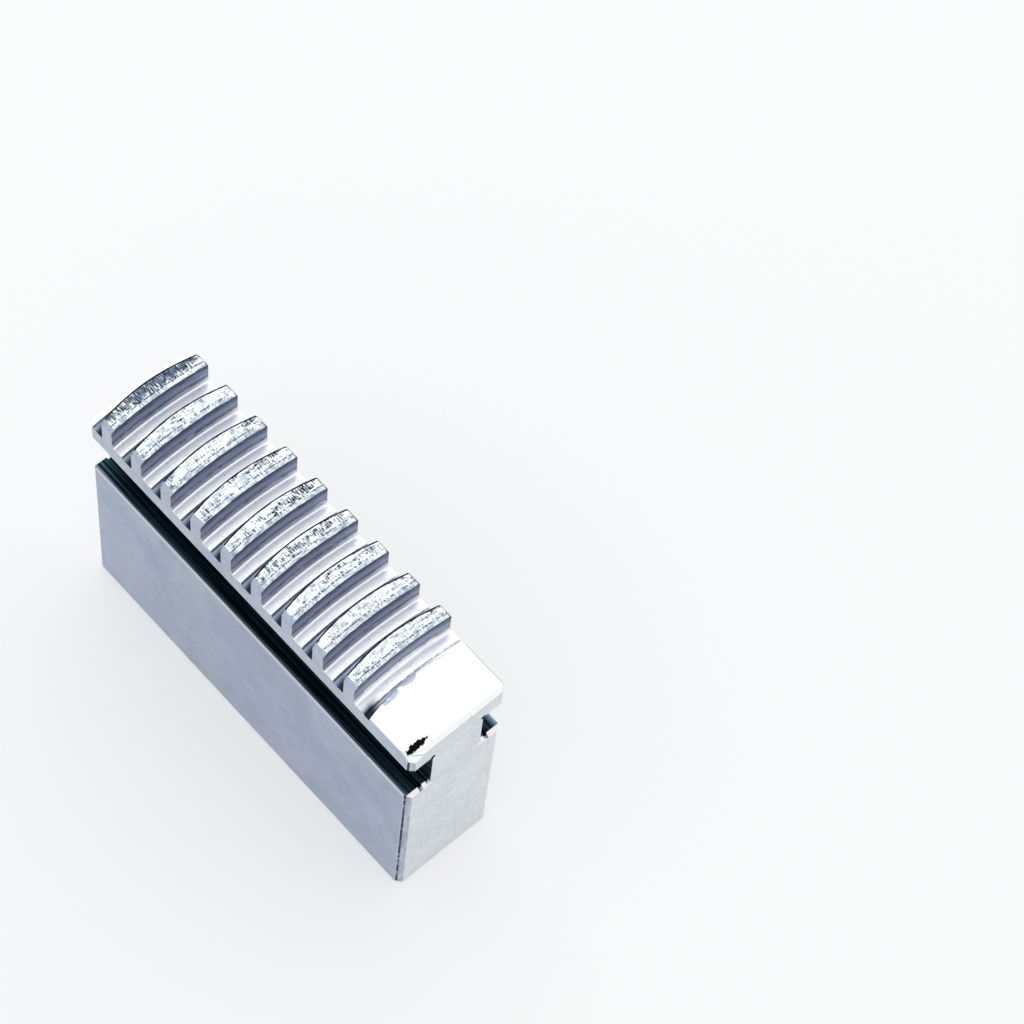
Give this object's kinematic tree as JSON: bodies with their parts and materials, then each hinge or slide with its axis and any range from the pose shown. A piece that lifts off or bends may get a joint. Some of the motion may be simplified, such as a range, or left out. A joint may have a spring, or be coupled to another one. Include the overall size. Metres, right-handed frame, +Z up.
{
  "type": "machinable soft jaw",
  "caption": "One-piece steel chuck jaw with curved scroll teeth, side guide grooves and a solid blank to be machined to suit the work.",
  "frame": {"origin": "centre of the base of the solid blank, on the surface the jaw stands on", "axes": "+X along the guide grooves towards the outer end, +Y across the jaw, +Z up towards the scroll teeth"},
  "size_m": [0.1016, 0.0258, 0.0693],
  "materials": {
    "ground_steel": "ground and milled bright steel, with worn crests and burred edges"
  },
  "bodies": {
    "root": {"soft_jaw": "ground_steel"}
  },
  "joints": []
}
